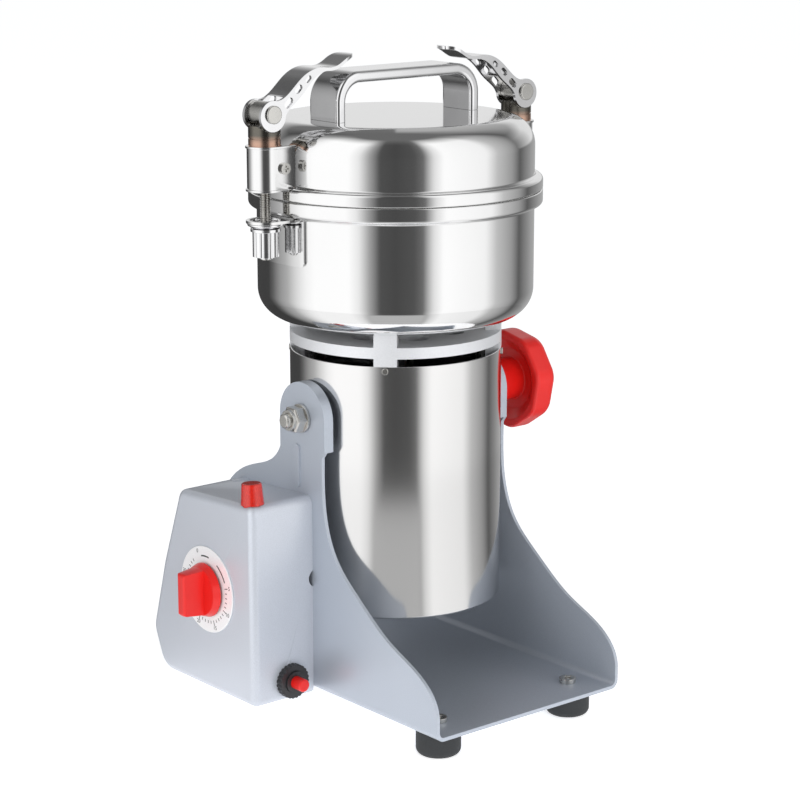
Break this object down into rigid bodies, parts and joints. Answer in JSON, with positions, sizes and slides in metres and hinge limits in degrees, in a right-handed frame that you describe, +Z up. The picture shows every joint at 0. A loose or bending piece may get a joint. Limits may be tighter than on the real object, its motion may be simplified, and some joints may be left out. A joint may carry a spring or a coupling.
{
  "type": "hammer mill",
  "caption": "Small tilting hammer mill: latched steel bowl with swinging hammers over a motor housing, hung in a bent sheet stand with a timer box.",
  "frame": {"origin": "on the floor straight below the bowl's axis at rest", "axes": "+Z up, +X right along the pivot axis, -Y to the open front of the stand"},
  "size_m": [0.2205, 0.212, 0.3587],
  "materials": {
    "black_plastic": "moulded, matte",
    "box_paint": "satin silver paint",
    "brass": "machined brass",
    "bright_chrome": "bright chrome plate",
    "brushed_tube": "polished stainless tube",
    "carbon": "pressed carbon",
    "copper_wire": "enamelled copper wire",
    "dark_steel": "oiled steel",
    "dial_white": "printed dial",
    "die_cast": "as-cast, bead blasted",
    "grey_rubber": "moulded rubber",
    "hard_steel": "ground hardened steel",
    "lamination": "varnished laminations",
    "lamp_red": "translucent red lens",
    "polished_steel": "mirror-polished stainless steel",
    "red_plastic": "gloss moulded",
    "stand_paint": "satin silver paint",
    "white_silicone": "moulded silicone",
    "zinc_steel": "zinc-plated steel"
  },
  "bodies": {
    "stand": {"stand": "stand_paint", "feet": "grey_rubber", "foot_screws": "zinc_steel", "control_box": "box_paint", "box_screws": "zinc_steel", "dial_plate": "dial_white", "timer_body": "black_plastic", "pilot_lamp": "lamp_red", "breaker_body": "black_plastic", "breaker_ring": "black_plastic", "cable_gland": "black_plastic"},
    "timer_dial": {"timer_knob": "red_plastic"},
    "reset_button": {"breaker_button": "red_plastic"},
    "mill": {"housing": "brushed_tube", "vent_cover": "black_plastic", "lower_bracket": "die_cast", "upper_bracket": "die_cast", "housing_screws": "zinc_steel", "tie_rods": "zinc_steel", "stator": "lamination", "brush_holders": "brass", "carbon_brushes": "carbon", "bearings": "hard_steel", "trunnion_blocks": "zinc_steel", "pivot_washer": "zinc_steel", "pivot_nut": "zinc_steel", "pivot_bolts": "zinc_steel", "bowl": "polished_steel", "bowl_screws": "zinc_steel", "shaft_seal": "white_silicone", "catches": "polished_steel"},
    "lock": {"lock_knob": "red_plastic"},
    "rotor": {"armature": "copper_wire", "commutator": "copper_wire", "cooling_fan": "black_plastic", "motor_shaft": "hard_steel", "rotor_spacers": "hard_steel", "lower_blade": "hard_steel", "hammer_carrier": "hard_steel", "hammer_pins": "hard_steel", "cap_nut": "bright_chrome"},
    "hammer_front": {"front_hammer": "hard_steel"},
    "hammer_back": {"back_hammer": "hard_steel"},
    "lid": {"lid": "polished_steel", "lid_gasket": "white_silicone", "lid_handle": "bright_chrome", "handle_screws": "zinc_steel", "latch_barrels": "polished_steel", "barrel_screws": "zinc_steel", "latch_saddles": "dark_steel"},
    "left_rod": {"left_latch_pin": "zinc_steel", "left_latch_rod": "zinc_steel", "left_spring_cup": "bright_chrome"},
    "left_lever": {"left_lever": "bright_chrome"},
    "left_nut": {"left_latch_nut": "bright_chrome"},
    "right_rod": {"right_latch_pin": "zinc_steel", "right_latch_rod": "zinc_steel", "right_spring_cup": "bright_chrome"},
    "right_lever": {"right_lever": "bright_chrome"},
    "right_nut": {"right_latch_nut": "bright_chrome"}
  },
  "joints": [
    {"name": "tilt", "type": "hinge", "parent": "stand", "child": "mill", "pos_m": [0, 0, 0.1667], "axis": [1, 0, 0], "range_deg": [0, 120]},
    {"name": "lock_turn", "type": "hinge", "parent": "mill", "child": "lock", "pos_m": [0.08, 0, 0.1667], "axis": [1, 0, 0], "continuous": true},
    {"name": "lid_lift", "type": "slide", "parent": "mill", "child": "lid", "axis": [0, 0, 1], "range_m": [0, 0.1], "deforming": ["left_spring_cup", "right_spring_cup"]},
    {"name": "timer_turn", "type": "hinge", "parent": "stand", "child": "timer_dial", "pos_m": [-0.107, 0.0332, 0.0709], "axis": [-1, 0, 0], "range_deg": [0, 300]},
    {"name": "reset_press", "type": "slide", "parent": "stand", "child": "reset_button", "axis": [0, 1, 0], "range_m": [0, 0.003], "stiffness_N_per_m": 300, "springref_m": -0.002},
    {"name": "rotor_spin", "type": "hinge", "parent": "mill", "child": "rotor", "pos_m": [0, 0, 0.2], "axis": [0, 0, 1], "continuous": true},
    {"name": "front_hammer_swing", "type": "hinge", "parent": "rotor", "child": "hammer_front", "pos_m": [0, -0.033, 0.245], "axis": [0, 0, 1], "range_deg": [-60, 60]},
    {"name": "back_hammer_swing", "type": "hinge", "parent": "rotor", "child": "hammer_back", "pos_m": [0, 0.033, 0.245], "axis": [0, 0, 1], "range_deg": [-60, 60]},
    {"name": "left_rod_drop", "type": "slide", "parent": "lid", "child": "left_rod", "axis": [0, 0, -1], "range_m": [0, 0.0016]},
    {"name": "left_lever_turn", "type": "hinge", "parent": "left_rod", "child": "left_lever", "pos_m": [-0.0873, 0, 0.3308], "axis": [0, -1, 0], "range_deg": [0, 150]},
    {"name": "left_nut_turn", "type": "hinge", "parent": "left_rod", "child": "left_nut", "pos_m": [-0.0873, 0, 0.265], "axis": [0, 0, 1], "continuous": true},
    {"name": "right_rod_drop", "type": "slide", "parent": "lid", "child": "right_rod", "axis": [0, 0, -1], "range_m": [0, 0.0016]},
    {"name": "right_lever_turn", "type": "hinge", "parent": "right_rod", "child": "right_lever", "pos_m": [0.0873, 0, 0.3308], "axis": [0, 1, 0], "range_deg": [0, 150]},
    {"name": "right_nut_turn", "type": "hinge", "parent": "right_rod", "child": "right_nut", "pos_m": [0.0873, 0, 0.265], "axis": [0, 0, 1], "continuous": true}
  ],
  "couplings": [
    {"joint": "left_rod_drop", "follows": "left_lever_turn", "m_per_rad": 0.00061116},
    {"joint": "right_rod_drop", "follows": "right_lever_turn", "m_per_rad": 0.00061116}
  ]
}
